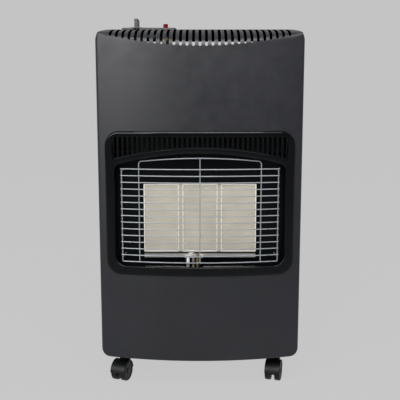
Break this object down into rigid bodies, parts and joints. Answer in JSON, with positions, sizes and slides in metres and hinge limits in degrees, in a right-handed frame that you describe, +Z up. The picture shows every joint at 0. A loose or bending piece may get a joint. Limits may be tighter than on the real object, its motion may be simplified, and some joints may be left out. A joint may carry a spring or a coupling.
{
  "type": "portable gas cabinet heater",
  "caption": "Upright portable gas heater cabinet with bowed front, arched louvred burner surround, wire guard, ceramic plaque burners and swivel casters.",
  "frame": {"origin": "on the floor, at the centre of the outer box", "axes": "+Z up, +X to the right seen from the front, the bowed front faces -Y"},
  "size_m": [0.426, 0.4, 0.781],
  "materials": {
    "body_enamel": "satin anthracite powder coat",
    "tray_enamel": "satin black coat",
    "gloss_enamel": "gloss black enamel",
    "reflector_enamel": "dark heat-resistant enamel",
    "plated_sheet": "zinc plated",
    "burner_steel": "aluminised, dull",
    "frame_steel": "bright stainless",
    "rail_steel": "bright stainless",
    "guard_chrome": "bright plated wire",
    "plaque_ceramic": "unglazed, finely perforated",
    "electrode_glaze": "glazed white",
    "sensor_steel": "plain",
    "brass": "machined",
    "valve_casting": "die cast",
    "spindle_steel": "machined",
    "knob_plastic": "fine texture",
    "bezel_plastic": "fine texture",
    "black_plastic": "plain",
    "red_plastic": "gloss red",
    "pipe_aluminium": "drawn tube",
    "copper_capillary": "drawn copper",
    "lead_silicone": "silicone sleeve",
    "caster_plastic": "fine texture",
    "wheel_plastic": "smooth",
    "pin_steel": "zinc plated",
    "screw_zinc": "dark zinc"
  },
  "bodies": {
    "cabinet": {"base_tray": "tray_enamel", "burner_plenum_centre": "burner_steel", "burner_plenum_left": "burner_steel", "burner_plenum_right": "burner_steel", "burner_rail": "rail_steel", "burner_surround": "gloss_enamel", "cabinet_screws": "screw_zinc", "caster_sockets": "black_plastic", "control_bezel": "bezel_plastic", "feed_pipe": "pipe_aluminium", "front_panel": "body_enamel", "gas_manifold": "plated_sheet", "gas_valve": "valve_casting", "heat_shield": "plated_sheet", "hose_tail": "brass", "ignition_lead": "lead_silicone", "injectors": "brass", "piezo_body": "black_plastic", "piezo_nut": "brass", "pilot_bracket": "rail_steel", "pilot_burner": "brass", "pilot_pipe": "pipe_aluminium", "plaque_centre": "plaque_ceramic", "plaque_frames": "frame_steel", "plaque_left": "plaque_ceramic", "plaque_right": "plaque_ceramic", "rear_rail": "body_enamel", "reflector_box": "reflector_enamel", "side_panel_left": "body_enamel", "side_panel_right": "body_enamel", "spark_electrode": "electrode_glaze", "thermocouple": "sensor_steel", "thermocouple_lead": "copper_capillary", "top_panel": "body_enamel", "wire_guard": "guard_chrome"},
    "rear_cover": {"rear_cover": "body_enamel"},
    "valve_plug": {"valve_plug": "brass"},
    "knob": {"control_knob": "knob_plastic", "valve_spindle": "spindle_steel"},
    "igniter": {"igniter_button": "red_plastic"},
    "caster_fl": {"caster_fl_hood": "caster_plastic", "caster_fl_pins": "pin_steel"},
    "caster_fl_wheel_a": {"caster_fl_wheel_a": "wheel_plastic"},
    "caster_fl_wheel_b": {"caster_fl_wheel_b": "wheel_plastic"},
    "caster_fr": {"caster_fr_hood": "caster_plastic", "caster_fr_pins": "pin_steel"},
    "caster_fr_wheel_a": {"caster_fr_wheel_a": "wheel_plastic"},
    "caster_fr_wheel_b": {"caster_fr_wheel_b": "wheel_plastic"},
    "caster_rl": {"caster_rl_hood": "caster_plastic", "caster_rl_pins": "pin_steel"},
    "caster_rl_wheel_a": {"caster_rl_wheel_a": "wheel_plastic"},
    "caster_rl_wheel_b": {"caster_rl_wheel_b": "wheel_plastic"},
    "caster_rr": {"caster_rr_hood": "caster_plastic", "caster_rr_pins": "pin_steel"},
    "caster_rr_wheel_a": {"caster_rr_wheel_a": "wheel_plastic"},
    "caster_rr_wheel_b": {"caster_rr_wheel_b": "wheel_plastic"}
  },
  "joints": [
    {"name": "rear_cover_off", "type": "slide", "parent": "cabinet", "child": "rear_cover", "axis": [0, 1, 0], "range_m": [0, 0.25]},
    {"name": "knob_turn", "type": "hinge", "parent": "cabinet", "child": "valve_plug", "pos_m": [-0.134, -0.081, 0.73], "axis": [0, 0, 1], "range_deg": [0, 210]},
    {"name": "knob_press", "type": "slide", "parent": "valve_plug", "child": "knob", "axis": [0, 0, -1], "range_m": [0, 0.003], "stiffness_N_per_m": 900, "springref_m": -0.003},
    {"name": "igniter_press", "type": "slide", "parent": "cabinet", "child": "igniter", "axis": [0, 0, -1], "range_m": [0, 0.006], "stiffness_N_per_m": 700, "springref_m": -0.002},
    {"name": "caster_fl_swivel", "type": "hinge", "parent": "cabinet", "child": "caster_fl", "pos_m": [-0.167, -0.117, 0.05], "axis": [0, 0, 1], "continuous": true},
    {"name": "caster_fl_wheel_a_spin", "type": "hinge", "parent": "caster_fl", "child": "caster_fl_wheel_a", "pos_m": [-0.17281, -0.13298, 0.0215], "axis": [0.9397, -0.342, 0], "continuous": true},
    {"name": "caster_fl_wheel_b_spin", "type": "hinge", "parent": "caster_fl", "child": "caster_fl_wheel_b", "pos_m": [-0.17281, -0.13298, 0.0215], "axis": [0.9397, -0.342, 0], "continuous": true},
    {"name": "caster_fr_swivel", "type": "hinge", "parent": "cabinet", "child": "caster_fr", "pos_m": [0.167, -0.117, 0.05], "axis": [0, 0, 1], "continuous": true},
    {"name": "caster_fr_wheel_a_spin", "type": "hinge", "parent": "caster_fr", "child": "caster_fr_wheel_a", "pos_m": [0.1626, -0.13342, 0.0215], "axis": [0.9659, -0.2588, 0], "continuous": true},
    {"name": "caster_fr_wheel_b_spin", "type": "hinge", "parent": "caster_fr", "child": "caster_fr_wheel_b", "pos_m": [0.1626, -0.13342, 0.0215], "axis": [0.9659, -0.2588, 0], "continuous": true},
    {"name": "caster_rl_swivel", "type": "hinge", "parent": "cabinet", "child": "caster_rl", "pos_m": [-0.167, 0.118, 0.05], "axis": [0, 0, 1], "continuous": true},
    {"name": "caster_rl_wheel_a_spin", "type": "hinge", "parent": "caster_rl", "child": "caster_rl_wheel_a", "pos_m": [-0.15902, 0.13301, 0.0215], "axis": [-0.8829, 0.4695, 0], "continuous": true},
    {"name": "caster_rl_wheel_b_spin", "type": "hinge", "parent": "caster_rl", "child": "caster_rl_wheel_b", "pos_m": [-0.15902, 0.13301, 0.0215], "axis": [-0.8829, 0.4695, 0], "continuous": true},
    {"name": "caster_rr_swivel", "type": "hinge", "parent": "cabinet", "child": "caster_rr", "pos_m": [0.167, 0.118, 0.05], "axis": [0, 0, 1], "continuous": true},
    {"name": "caster_rr_wheel_a_spin", "type": "hinge", "parent": "caster_rr", "child": "caster_rr_wheel_a", "pos_m": [0.17498, 0.10299, 0.0215], "axis": [0.8829, 0.4695, 0], "continuous": true},
    {"name": "caster_rr_wheel_b_spin", "type": "hinge", "parent": "caster_rr", "child": "caster_rr_wheel_b", "pos_m": [0.17498, 0.10299, 0.0215], "axis": [0.8829, 0.4695, 0], "continuous": true}
  ]
}
